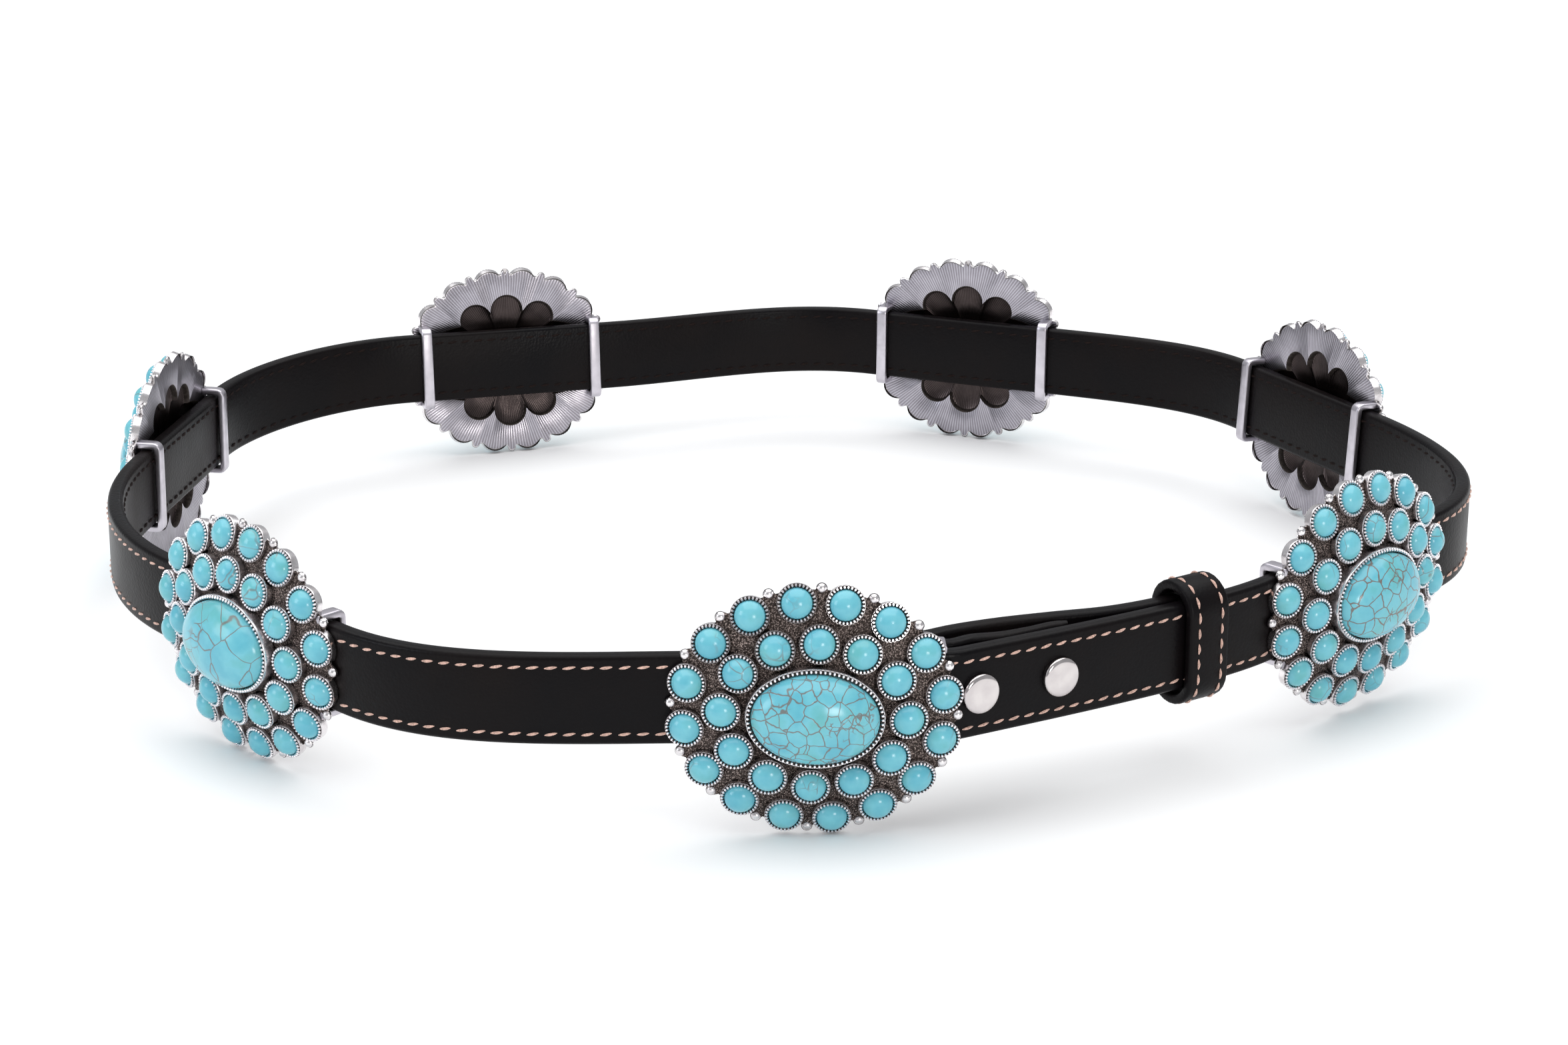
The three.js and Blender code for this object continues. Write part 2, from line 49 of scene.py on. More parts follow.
# Middle of each centre bezel's front: x, y, height, facing, lean back, clockwise roll
conchoPlaces = {
    "buckle": (8.585, -129.058, 25.51, 1.5, 2.4, 3.3),
    "right_front": (125.685, -68.958, 27.00, 40.8, 1.7, -1.5),
    "right_side": (140.285, 56.542, 25.62, 115.8, -2.6, 1.0),
    "rear_right": (54.785, 127.342, 24.98, 158.3, 0.0, 0.0),
    "rear_left": (-73.315, 116.842, 24.47, 197.7, -5.4, -0.9),
    "left_side": (-150.415, 29.342, 25.23, 262.6, 1.7, -0.8),
    "left_front": (-108.615, -91.558, 25.43, 317.1, 1.4, 0.0),
}

# Depths behind the bezel's front
layout = {
    "strapDepth": 8.3,
    "barDepth": 11.1,
    "legHeight": 10.1,
    "lipDepth": 6.3,
    "straightBehindConcho": 27,
    "bendHandle": 0.36,
    "bendSamples": 48,
    "barRise": 2.9,  # the tipped buckle's bar sits this much higher on the strap
    "turnStart": 24.4,
    "turnRadius": 8,
    "turn": 27.5,
    "turnHandles": (0.34, 0.22),
    "turnSteps": 8,
}


def placeMatrix(name):
    x, y, z, facing, lean, roll = conchoPlaces[name]
    turn = Matrix.Rotation(math.radians(facing), 4, "Z")
    turn @= Matrix.Rotation(math.radians(-lean), 4, "X")
    turn @= Matrix.Rotation(math.radians(roll), 4, "Y")
    return Matrix.Translation((x, y, z)) @ turn


# Meshes: lists of points and faces that grow piece by piece, each face with its finish

def newParts():
    return {"points": [], "faces": [], "finish": [], "uvs": []}


def addRings(parts, rings, finish, capStart=False, capEnd=False):
    # finish is one number, or one for each band between two rings
    count = len(rings[0])
    base = len(parts["points"])
    for ring in rings:
        parts["points"].extend(ring)
    for row in range(len(rings) - 1):
        rowFinish = finish[row] if isinstance(finish, (list, tuple)) else finish
        v0 = row / (len(rings) - 1)
        v1 = (row + 1) / (len(rings) - 1)
        for i in range(count):
            a = base + row * count + i
            b = base + row * count + (i + 1) % count
            parts["faces"].append((a, b, b + count, a + count))
            parts["finish"].append(rowFinish)
            u0, u1 = i / count, (i + 1) / count
            parts["uvs"].extend(((u0, v0), (u1, v0), (u1, v1), (u0, v1)))
    ends = []
    if capStart:
        ends.append((base, 0, True))
    if capEnd:
        ends.append((base + (len(rings) - 1) * count, -1, False))
    for start, which, flip in ends:
        rowFinish = finish[which] if isinstance(finish, (list, tuple)) else finish
        loop = [start + i for i in range(count)]
        parts["faces"].append(tuple(reversed(loop)) if flip else tuple(loop))
        parts["finish"].append(rowFinish)
        parts["uvs"].extend([(0.5, 0.0 if flip else 1.0)] * count)


def ballRings(across, upward, outward, centre, radii, around, rows):
    # radii: across, upward, outward
    rings = []
    for row in range(1, rows):
        tilt = math.pi * row / rows
        ring = []
        for i in range(around):
            angle = 2 * math.pi * i / around
            side = across * (radii[0] * math.cos(angle)) + upward * (radii[1] * math.sin(angle))
            ring.append(centre + side * math.sin(tilt) + outward * (radii[2] * math.cos(tilt)))
        rings.append(ring)
    return rings


def makePiece(name, parts, finishes, nodes=(), matrix=None, sharpAngle=40):
    mesh = bpy.data.meshes.new(name)
    mesh.from_pydata([point * mm for point in parts["points"]], [], parts["faces"])
    for finish in finishes:
        mesh.materials.append(finish)
    mesh.polygons.foreach_set("material_index", parts["finish"])
    layer = mesh.uv_layers.new(name="wrap")
    layer.data.foreach_set("uv", [value for uv in parts["uvs"] for value in uv])
    tidy = bmesh.new()
    tidy.from_mesh(mesh)
    bmesh.ops.recalc_face_normals(tidy, faces=tidy.faces)
    tidy.to_mesh(mesh)
    tidy.free()
    mesh.shade_smooth()
    mesh.set_sharp_from_angle(angle=math.radians(sharpAngle))
    return placePiece(name, mesh, nodes, matrix)


def placePiece(name, mesh, nodes=(), matrix=None):
    if matrix is not None:
        scaled = matrix.copy()
        scaled.translation = matrix.translation * mm
        mesh.transform(scaled)
    piece = bpy.data.objects.new(name, mesh)
    bpy.context.scene.collection.objects.link(piece)
    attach(piece, "root")
    if nodes:
        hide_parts(*nodes)
    return piece


def between(table, along, column):
    # straight line between the rows of a table whose first column increases
    if along <= table[0][0]:
        return table[0][column]
    for low, high in zip(table, table[1:]):
        if along <= high[0]:
            share = (along - low[0]) / (high[0] - low[0])
            return low[column] + (high[column] - low[column]) * share
    return table[-1][column]


# Finishes: a dictionary each, so that the helpers can add nodes to it

def newFinish(name, metallic=0.0):
    material = bpy.data.materials.new(name)
    material.use_nodes = True
    nodes = material.node_tree.nodes
    shader = nodes["Principled BSDF"]
    shader.inputs["Metallic"].default_value = metallic
    place = nodes.new("ShaderNodeNewGeometry").outputs["Position"]
    return {"material": material, "nodes": nodes, "links": material.node_tree.links,
            "shader": shader, "place": place, "bump": None}


def addNode(finish, kind, **values):
    node = finish["nodes"].new(kind)
    for key, value in values.items():
        if key in node.inputs:
            node.inputs[key].default_value = value
        else:
            setattr(node, key, value)
    return node


def feed(finish, socketName, source):
    finish["links"].new(source, finish["shader"].inputs[socketName])


def setValue(finish, socketName, value):
    finish["shader"].inputs[socketName].default_value = value


def noise(finish, scale, detail, output="Fac"):
    node = addNode(finish, "ShaderNodeTexNoise", Scale=scale, Detail=detail)
    finish["links"].new(finish["place"], node.inputs["Vector"])
    return node.outputs[output]


def cells(finish, scale, feature, place=None):
    node = addNode(finish, "ShaderNodeTexVoronoi", Scale=scale, feature=feature)
    finish["links"].new(finish["place"] if place is None else place, node.inputs["Vector"])
    return node.outputs["Distance"]


def ramp(finish, source, *stops):
    node = addNode(finish, "ShaderNodeValToRGB")
    elements = node.color_ramp.elements
    for which, (position, colour) in ((0, stops[0]), (1, stops[-1])):
        elements[which].position = position
        elements[which].color = (*colour, 1)
    for position, colour in stops[1:-1]:
        elements.new(position).color = (*colour, 1)
    finish["links"].new(source, node.inputs["Fac"])
    return node.outputs["Color"]


def blend(finish, kind, first, second):
    node = addNode(finish, "ShaderNodeMix", data_type="RGBA", blend_type=kind)
    node.inputs["Factor"].default_value = 1.0
    finish["links"].new(first, node.inputs[6])
    finish["links"].new(second, node.inputs[7])
    return node.outputs[2]


def darkCrevices(finish, colour, tarnishAndShade, reach, low, high):
    # darkens the colour wherever other metal stands close: partly the blackened patina of the hollows, partly
    # painted shade in crevices and gaps
    node = addNode(finish, "ShaderNodeAmbientOcclusion", samples=6, Distance=reach)
    shade = ramp(finish, node.outputs["AO"], (low, tarnishAndShade), (high, white))
    return blend(finish, "MULTIPLY", colour, shade)


def bump(finish, height, distance, strength):
    # each further bump goes on top of the last
    node = addNode(finish, "ShaderNodeBump", Distance=distance, Strength=strength)
    finish["links"].new(height, node.inputs["Height"])
    if finish["bump"] is not None:
        finish["links"].new(finish["bump"], node.inputs["Normal"])
    finish["bump"] = node.outputs["Normal"]
    feed(finish, "Normal", finish["bump"])


def grey(value):
    return (value, value, value)


white, black = grey(1), grey(0)

leatherLook = {
    "colour": (0.0028, 0.0024, 0.0032),
    "worn": (0.0068, 0.0046, 0.0044),
    "cloudPerMetre": 38,
    "grainPerMetre": 1500,
    "grainDepth": 0.00006,
    "shine": 0.1,
}


def leatherFinish(name, look, gloss):
    finish = newFinish(name)
    cloud = noise(finish, look["cloudPerMetre"], 4)
    feed(finish, "Base Color", ramp(finish, cloud, (0.35, look["colour"]), (0.7, look["worn"])))
    feed(finish, "Roughness", ramp(finish, cloud, (0.3, grey(gloss)), (0.75, grey(gloss + 0.16))))
    setValue(finish, "Specular IOR Level", look["shine"])
    bump(finish, cells(finish, look["grainPerMetre"], "F1"), look["grainDepth"], 0.5)
    bump(finish, noise(finish, look["grainPerMetre"] * 0.6, 3), look["grainDepth"], 0.4)
    return finish["material"]


silverLook = {
    "bright": (0.86, 0.83, 0.84),
    "dull": (0.60, 0.565, 0.57),
    # dark patina colour, also used as painted shade in crevices and gaps
    "tarnishAndShade": (0.03, 0.024, 0.021),
    "wornTarnishAndShade": (0.085, 0.07, 0.064),
    "ground": (0.062, 0.049, 0.045),
    "groundGlint": (0.42, 0.34, 0.31),
    "cloudPerMetre": 420,
    "pitsPerMetre": 3600,
}
wireLook = {**silverLook, "bright": (0.62, 0.59, 0.64), "dull": (0.54, 0.515, 0.56)}
borderLook = {"bright": (0.50, 0.485, 0.54), "dull": (0.36, 0.345, 0.39), "lines": 224}
recessLook = {"bright": (0.085, 0.068, 0.066), "dull": (0.035, 0.028, 0.028), "lines": 224}
beadLook = {"bright": (0.90, 0.87, 0.89), "dull": (0.80, 0.76, 0.79), "cloudPerMetre": 900, "roughness": 0.24}
nickelLook = {"bright": (0.66, 0.62, 0.61), "dull": (0.56, 0.52, 0.52), "cloudPerMetre": 300,
              "roughness": 0.1}


def brightSilver(name, look, roughness):
    finish = newFinish(name, 1.0)
    cloud = noise(finish, look["cloudPerMetre"], 4)
    tone = ramp(finish, cloud, (0.3, look["dull"]), (0.6, look["bright"]))
    # painted shade with patina in the gaps between beads and along the cup walls
    feed(finish, "Base Color", darkCrevices(finish, tone, look["tarnishAndShade"], 0.0007, 0.38, 0.86))
    feed(finish, "Roughness", ramp(finish, cloud, (0.3, grey(roughness + 0.12)), (0.7, grey(roughness))))
    bump(finish, cloud, 0.00003, 0.35)
    return finish["material"]


def groundSilver(name, look):
    # matted, darkened ground between the cups: dark patina, with painted glints at the granules' centres and
    # painted shade near the cups
    finish = newFinish(name, 1.0)
    pits = cells(finish, look["pitsPerMetre"], "SMOOTH_F1")
    tone = ramp(finish, pits, (0.12, look["groundGlint"]), (0.42, look["ground"]), (0.75, look["tarnishAndShade"]))
    feed(finish, "Base Color", darkCrevices(finish, tone, look["tarnishAndShade"], 0.0025, 0.15, 0.75))
    setValue(finish, "Roughness", 0.38)
    bump(finish, pits, 0.0002, 0.9)
    bump(finish, noise(finish, 900, 3), 0.0002, 0.5)
    return finish["material"]


def darkSilver(name, look):
    # dark finish for the seat under the bead rings, the groove round each stone and the walls of the back's
    # hollow: tarnish plus painted shade
    finish = newFinish(name, 0.4)
    cloud = noise(finish, 1200, 3)
    feed(finish, "Base Color", ramp(finish, cloud, (0.3, look["tarnishAndShade"]), (0.75, look["wornTarnishAndShade"])))
    setValue(finish, "Roughness", 0.6)
    setValue(finish, "Specular IOR Level", 0.2)
    bump(finish, cloud, 0.00004, 0.4)
    return finish["material"]


def linedSilver(name, look):
    # the back: fine lines that run out to the edge
    finish = newFinish(name, 1.0)
    wrap = addNode(finish, "ShaderNodeUVMap", uv_map="wrap")
    split = addNode(finish, "ShaderNodeSeparateXYZ")
    turns = addNode(finish, "ShaderNodeMath", operation="MULTIPLY")
    turns.inputs[1].default_value = look["lines"] * 2 * math.pi
    sine = addNode(finish, "ShaderNodeMath", operation="SINE")
    finish["links"].new(wrap.outputs["UV"], split.inputs["Vector"])
    finish["links"].new(split.outputs["X"], turns.inputs[0])
    finish["links"].new(turns.outputs["Value"], sine.inputs[0])
    wave = sine.outputs["Value"]
    cloud = noise(finish, 260, 3)
    tone = ramp(finish, cloud, (0, look["dull"]), (0.6, look["bright"]))
    lineTone = ramp(finish, wave, (0, (0.62, 0.60, 0.60)), (0.6, white))
    feed(finish, "Base Color", blend(finish, "MULTIPLY", tone, lineTone))
    setValue(finish, "Roughness", 0.3)
    bump(finish, wave, 0.00004, 0.3)
    bump(finish, cloud, 0.0002, 0.3)
    return finish["material"]


def plainSilver(name, look):
    finish = newFinish(name, 1.0)
    cloud = noise(finish, look["cloudPerMetre"], 3)
    roughness = look["roughness"]
    feed(finish, "Base Color", ramp(finish, cloud, (0.35, look["dull"]), (0.65, look["bright"])))
    feed(finish, "Roughness", ramp(finish, cloud, (0.3, grey(roughness)), (0.7, grey(roughness + 0.08))))
    bump(finish, cloud, 0.00002, 0.3)
    return finish["material"]


turquoiseLook = {
    "body": (0.115, 0.44, 0.55),
    "pale": (0.16, 0.51, 0.60),
    "green": (0.13, 0.45, 0.48),
    "matrix": (0.17, 0.125, 0.105),
    "roughness": 0.2,
    "cloudPerMetre": 170,
    "wander": 1.5,  # how far the lines wander, in cells
}
# for each of two nets: cells per metre, line width in cells, and where its patches fade in
smallNets = {"nets": ((150, 0.022, 0.55, 0.62), (420, 0.04, 0.66, 0.72)), "strength": 0.6}
nettedNets = {"nets": ((330, 0.045, 0, 0.05), (620, 0.07, 0.6, 0.66)), "strength": 0.85}
brownNets = {"nets": ((290, 0.045, 0, 0.05), (520, 0.06, 0.62, 0.68)), "strength": 0.95}
crackedNets = {"nets": ((120, 0.016, 0.2, 0.3), (260, 0.03, 0.6, 0.66)), "strength": 0.8}


def crackNet(finish, cellsPerMetre, lineWidth, wander):
    # 1 on the thin lines between the cells
    drift = noise(finish, cellsPerMetre * 0.4, 3.5, "Color")
    push = addNode(finish, "ShaderNodeVectorMath", operation="MULTIPLY_ADD")
    push.inputs[1].default_value = (wander / cellsPerMetre,) * 3
    finish["links"].new(drift, push.inputs[0])
    finish["links"].new(finish["place"], push.inputs[2])
    net = cells(finish, cellsPerMetre, "DISTANCE_TO_EDGE", push.outputs["Vector"])
    return ramp(finish, net, (lineWidth * 0.4, white), (lineWidth, black))


def turquoiseFinish(name, look, veins):
    finish = newFinish(name)
    nets = []
    for cellsPerMetre, lineWidth, low, high in veins["nets"]:
        net = crackNet(finish, cellsPerMetre, lineWidth, look["wander"])
        patches = ramp(finish, noise(finish, cellsPerMetre * 0.32, 2), (low, black), (high, white))
        nets.append(blend(finish, "MULTIPLY", net, patches))
    vein = blend(finish, "LIGHTEN", *nets)
    cloud = noise(finish, look["cloudPerMetre"], 3)
    tone = ramp(finish, cloud, (0.35, look["body"]), (0.52, look["pale"]), (0.7, look["green"]))
    mix = addNode(finish, "ShaderNodeMix", data_type="RGBA")
    weaker = ramp(finish, vein, (0, black), (1, grey(veins["strength"])))
    finish["links"].new(weaker, mix.inputs["Factor"])
    finish["links"].new(tone, mix.inputs[6])
    mix.inputs[7].default_value = (*look["matrix"], 1)
    feed(finish, "Base Color", mix.outputs[2])
    setValue(finish, "Roughness", look["roughness"])
    bump(finish, vein, -0.00004, 0.5)
    return finish["material"]


outerThreadLook = {"colour": (0.74, 0.47, 0.38), "shine": 0.5, "sheen": 0.3}
innerThreadLook = {"colour": (0.014, 0.008, 0.007), "shine": 0.08, "sheen": 0.0}


def threadFinish(name, look):
    finish = newFinish(name)
    fibre = noise(finish, 2600, 2)
    dark = tuple(0.55 * value for value in look["colour"])
    feed(finish, "Base Color", ramp(finish, fibre, (0.35, dark), (0.6, look["colour"])))
    setValue(finish, "Roughness", 0.6)
    setValue(finish, "Specular IOR Level", look["shine"])
    setValue(finish, "Sheen Weight", look["sheen"])
    bump(finish, fibre, 0.00006, 0.6)
    return finish["material"]


leather = leatherFinish("blackLeather", leatherLook, 0.3)
keeperLeather = leatherFinish("keeperLeather", leatherLook, 0.36)
# what the faces of a casting choose from
silverFinishes = [
    brightSilver("brightSilver", silverLook, 0.2),
    groundSilver("mattedGround", silverLook),
    darkSilver("tarnishedAndShadedSilver", silverLook),
    linedSilver("linedBorder", borderLook),
    linedSilver("linedRecess", recessLook),
    brightSilver("stapleSilver", wireLook, 0.28),
    plainSilver("beadSilver", beadLook),
]
brightFace, groundFace, darkFace, borderFace, recessFace, wireFace, beadFace = range(7)
smallTurquoise = turquoiseFinish("smallTurquoise", turquoiseLook, smallNets)
nettedTurquoise = turquoiseFinish("nettedTurquoise", turquoiseLook, nettedNets)
brownTurquoise = turquoiseFinish("brownTurquoise", turquoiseLook, brownNets)
crackedTurquoise = turquoiseFinish("crackedTurquoise", turquoiseLook, crackedNets)
centreFinishes = {
    "buckle": nettedTurquoise,
    "right_front": brownTurquoise,
    "right_side": nettedTurquoise,
    "rear_right": brownTurquoise,
    "rear_left": crackedTurquoise,
    "left_side": nettedTurquoise,
    "left_front": crackedTurquoise,
}
thread = threadFinish("stitchThread", outerThreadLook)
innerThread = threadFinish("innerThread", innerThreadLook)
nickel = plainSilver("polishedNickel", nickelLook)
print("finishes made")


# Conchos

concho = {
    "domeAcross": 94,
    "domeDown": 71,
    "groundDepth": 1.65,
    "plateWidth": 26.7,
    "plateHeight": 23.6,
    "roundSteps": 288,
    "cupRadius": 3.8,
    "beadRadii": (0.285, 0.4, 0.38),  # along the ring, across it, outward
    "beadsPerCup": 30,
    "lipFoot": 6.02,  # where the rim cups end, just inside the flat back
    "ballSides": 8,
    "ballRows": 5,
    "stoneSides": 24,
    "stoneRows": 8,
    "cupSides": 32,
    "stoneRadius": 2.98,
    "stoneHeight": 1.85,
    "knobOut": 2.2,
    "knobRadius": 1.08,
}
cupRows = [
    {"count": 16, "halfWidth": 24.85, "halfHeight": 21.68, "rimDepth": 0.7, "firstStep": 0.5, "toLip": True},
    {"count": 12, "halfWidth": 17.7, "halfHeight": 14.3, "rimDepth": 0.0, "firstStep": 0.0, "toLip": False},
]


def drop(x, z):
    return x * x / (2 * concho["domeAcross"]) + z * z / (2 * concho["domeDown"])


def evenlyRoundOval(halfWidth, halfHeight, count, firstStep):
    # clockwise from the top, seen from outside
    steps = 1440
    places = [(halfWidth * math.sin(2 * math.pi * i / steps), halfHeight * math.cos(2 * math.pi * i / steps))
              for i in range(steps + 1)]
    lengths = [0.0]
    for i in range(steps):
        lengths.append(lengths[-1] + math.dist(places[i], places[i + 1]))
    chosen = []
    i = 0
    for k in range(count):
        wanted = lengths[-1] * (k + firstStep) / count
        while lengths[i + 1] < wanted:
            i += 1
        share = (wanted - lengths[i]) / (lengths[i + 1] - lengths[i])
        chosen.append((places[i][0] + (places[i + 1][0] - places[i][0]) * share,
                       places[i][1] + (places[i + 1][1] - places[i][1]) * share))
    return chosen


def cupAxes(x, z):
    outward = Vector((x / concho["domeAcross"], -1, z / concho["domeDown"])).normalized()
    across = outward.cross(Vector((0, 0, -1))).normalized()
    return across, outward.cross(across).normalized() * -1, outward


def turned(profile, centre, across, upward, outward, sides):
    # rings of a turned profile of (radius, height) pairs
    rings = []
    for radius, height in profile:
        rings.append([centre + across * (radius * math.sin(2 * math.pi * i / sides))
                      + upward * (radius * math.cos(2 * math.pi * i / sides)) + outward * height
                      for i in range(sides)])
    return rings


def addBead(parts, along, across, outward, middle, radii):
    ball = ballRings(along, across, outward, middle, radii, concho["ballSides"], concho["ballRows"])
    addRings(parts, ball, beadFace, capStart=True, capEnd=True)


def addCup(parts, x, z, row):
    across, upward, outward = cupAxes(x, z)
    centre = Vector((x, row["rimDepth"] + drop(x, z), z))
    radius = concho["cupRadius"]
    along, wide, high = concho["beadRadii"]
    ringRadius = radius - wide - 0.03
    profile = [
        (radius, -1.9),
        (radius + 0.01, -0.5),
        (radius, -0.24),
        (radius - 0.05, -0.12),
        (radius - 0.12, -0.12),
        (ringRadius + 0.2, -0.26),
        (ringRadius - 0.3, -0.26),
        (ringRadius - 0.42, -0.45),
        (ringRadius - 0.46, -0.95),
    ]
    rings = turned(profile, centre, across, upward, outward, concho["cupSides"])
    # the seat under the beads and the groove round the stone take the dark finish: tarnish plus painted shade
    finish = [brightFace] * 4 + [darkFace] * 4
    if row["toLip"]:
        foot = [Vector((point.x, concho["lipFoot"], point.z)) for point in rings[0]]
        addRings(parts, [foot] + rings, [brightFace] + finish, capStart=True)
    else:
        addRings(parts, rings, finish)
    for i in range(concho["beadsPerCup"]):
        angle = 2 * math.pi * (i + 0.5) / concho["beadsPerCup"]
        side = across * math.sin(angle) + upward * math.cos(angle)
        middle = centre + side * ringRadius
        addBead(parts, outward.cross(side), side, outward, middle, (along, wide, high))


def addSmallStone(parts, x, z, row):
    across, upward, outward = cupAxes(x, z)
    centre = Vector((x, row["rimDepth"] + drop(x, z), z))
    profile = [(concho["stoneRadius"], -0.9)]
    girdle = -0.5
    for k in range(concho["stoneRows"]):
        tilt = math.pi / 2 * k / concho["stoneRows"]
        height = girdle + (concho["stoneHeight"] - girdle) * math.sin(tilt)
        profile.append((concho["stoneRadius"] * math.cos(tilt), height))
    profile.append((0.12, concho["stoneHeight"]))
    rings = turned(profile, centre, across, upward, outward, concho["stoneSides"])
    addRings(parts, rings, 0, capStart=True, capEnd=True)


def ovalRing(halfWidth, halfHeight, depth, steps):
    turns = [2 * math.pi * i / steps for i in range(steps)]
    return [Vector((halfWidth * math.sin(turn), depth, halfHeight * math.cos(turn))) for turn in turns]


bezelLook = {
    "halfWidth": 13.15,
    "halfHeight": 9.9,
    "beads": 80,
    "steps": 96,
    "stoneHalfWidth": 12.1,
    "stoneHalfHeight": 8.8,
    "stoneTop": 5.55,
    "stoneRows": 14,
}


def addBezel(parts):
    wide, high = bezelLook["halfWidth"], bezelLook["halfHeight"]
    beadAlong, beadAcross, beadUp = concho["beadRadii"]
    # out from the bezel's oval, depth
    profile = [(0, 2.4), (0.03, 0.5), (0, 0.2), (-0.07, 0.06), (-0.2, 0.04),
               (-0.5, 0.24), (-0.9, 0.18), (-0.98, 0.35), (-1.0, 1.4)]
    rings = [ovalRing(wide + out, high + out, depth, bezelLook["steps"]) for out, depth in profile]
    # the seat under the bead ring and the groove round the centre stone take the dark finish: tarnish plus
    # painted shade
    addRings(parts, rings, [brightFace] * 4 + [darkFace] * 4)
    outward = Vector((0, -1, 0))
    places = evenlyRoundOval(wide - beadAcross - 0.08, high - beadAcross - 0.08, bezelLook["beads"], 0.5)
    for i, (x, z) in enumerate(places):
        nextX, nextZ = places[(i + 1) % len(places)]
        lastX, lastZ = places[i - 1]
        forward = Vector((nextX - lastX, 0, nextZ - lastZ)).normalized()
        radii = (beadAlong + 0.03, beadAcross + 0.02, beadUp + 0.02)
        addBead(parts, forward, outward.cross(forward), outward, Vector((x, 0, z)), radii)


def recessReach(angle):
    # how far the scalloped hollow in the back reaches, from the middle
    dx, dz = math.sin(angle), math.cos(angle)
    reach = (abs(dx / 21.0)**4 + abs(dz / 10.2)**4)**-0.25
    scallops = [(0, 13.3, 4.3), (8.3, 11.3, 4.2)]
    for x, z, radius in scallops:
        for sx in (-1, 1):
            for sz in (-1, 1):
                along = dx * x * sx + dz * z * sz
                off = x * x + z * z - along * along
                if along > 0 and off < radius * radius:
                    reach = max(reach, along + math.sqrt(radius * radius - off))
    return reach


def footOutlines():
    # outlines of everything that stands on the plate's rim, seen from the back
    outlines = []
    row = cupRows[0]
    sides = concho["cupSides"]
    for x, z in evenlyRoundOval(row["halfWidth"], row["halfHeight"], row["count"], row["firstStep"]):
        centre = Vector((x, 0, z))
        ring = turned([(concho["cupRadius"] + 0.02, -1.9)], centre, *cupAxes(x, z), sides)[0]
        outlines.append([(point.x, point.z) for point in ring])
    out, radius = concho["knobOut"], concho["knobRadius"] + 0.02
    for x, z in evenlyRoundOval(row["halfWidth"] + out, row["halfHeight"] + out, row["count"], 0):
        turns = [2 * math.pi * i / 16 for i in range(16)]
        outlines.append([(x + radius * math.sin(a), z + radius * math.cos(a)) for a in turns])
    return outlines


def lobedReach(direction, ovalReach, outlines):
    # how far the outline lies from the middle in one direction
    reach = ovalReach
    dx, dz = direction
    for outline in outlines:
        for (ax, az), (bx, bz) in zip(outline, outline[1:] + outline[:1]):
            sideA, sideB = dx * az - dz * ax, dx * bz - dz * bx
            if sideA * sideB < 0:
                share = sideA / (sideA - sideB)
                reach = max(reach, dx * (ax + (bx - ax) * share) + dz * (az + (bz - az) * share))
    return reach


def addPlate(parts):
    steps = concho["roundSteps"]
    angles = [2 * math.pi * i / steps for i in range(steps)]
    wide, high = concho["plateWidth"], concho["plateHeight"]
    edge = [Vector((wide * math.sin(angle), 0, high * math.cos(angle))) for angle in angles]
    directions = [p.normalized() for p in edge]
    lip = layout["lipDepth"]
    outlines = footOutlines()
    lobes = [lobedReach((d.x, d.z), p.length, outlines) for p, d in zip(edge, directions)]
    hollows = [recessReach(math.atan2(p.x, p.z)) for p in edge]

    def groundRing(share):
        places = [(p.x * share, p.z * share) for p in edge]
        return [Vector((x, concho["groundDepth"] + drop(x, z), z)) for x, z in places]

    def reachRing(reaches, offset, depth, scale=1.0):
        far = [reach * scale + offset for reach in reaches]
        return [Vector((d.x * f, depth, d.z * f)) for d, f in zip(directions, far)]

    front = [groundRing(share) for share in (0.36, 0.5, 0.62, 0.74, 0.86, 0.97, 1.0)]
    wall = [
        reachRing(lobes, 0, lip - 0.55),
        reachRing(lobes, 0, lip - 0.42),
        reachRing(lobes, -0.12, lip - 0.14),
        reachRing(lobes, -0.45, lip),
        reachRing(lobes, -0.6, lip),
    ]
    hollow = [
        reachRing(hollows, 0.3, lip),
        reachRing(hollows, 0.08, lip - 0.12),
        reachRing(hollows, -0.1, lip - 0.5),
        reachRing(hollows, -0.25, lip - 1.35),
        reachRing(hollows, -0.7, lip - 1.6),
        reachRing(hollows, 0, 4.35, 0.75),
        reachRing(hollows, 0, 3.7, 0.5),
        reachRing(hollows, 0, 3.2, 0.25),
    ]
    # the hollow's walls take the dark finish: tarnish plus painted shade
    finish = [groundFace] * 7 + [brightFace] * 3 + [borderFace] * 2 + [darkFace] * 3 + [recessFace] * 4
    addRings(parts, front + wall + hollow, finish, capEnd=True)


def addKnobs(parts):
    # short rods with domed ends in the notches of the rim
    rim = cupRows[0]
    out = concho["knobOut"]
    radius = concho["knobRadius"]
    for x, z in evenlyRoundOval(rim["halfWidth"] + out, rim["halfHeight"] + out, rim["count"], 0):
        across, upward, outward = Vector((1, 0, 0)), Vector((0, 0, 1)), Vector((0, -1, 0))
        front = concho["groundDepth"] + drop(x, z) - 0.15
        centre = Vector((x, 0, z))
        profile = [(radius, -(layout["lipDepth"] - 0.3)), (radius, -(layout["lipDepth"] - 0.6))]
        for k in range(6):
            tilt = math.pi / 2 * k / 6
            profile.append((radius * math.cos(tilt), -front + radius * (math.sin(tilt) - 1) + 0.55))
        rings = turned(profile, centre, across, upward, outward, 14)
        addRings(parts, rings, brightFace, capStart=True, capEnd=True)


stapleLook = {"fromMiddle": 22.7, "halfWidth": 1.4, "halfThickness": 0.8, "edge": 0.45, "bend": 1.1}


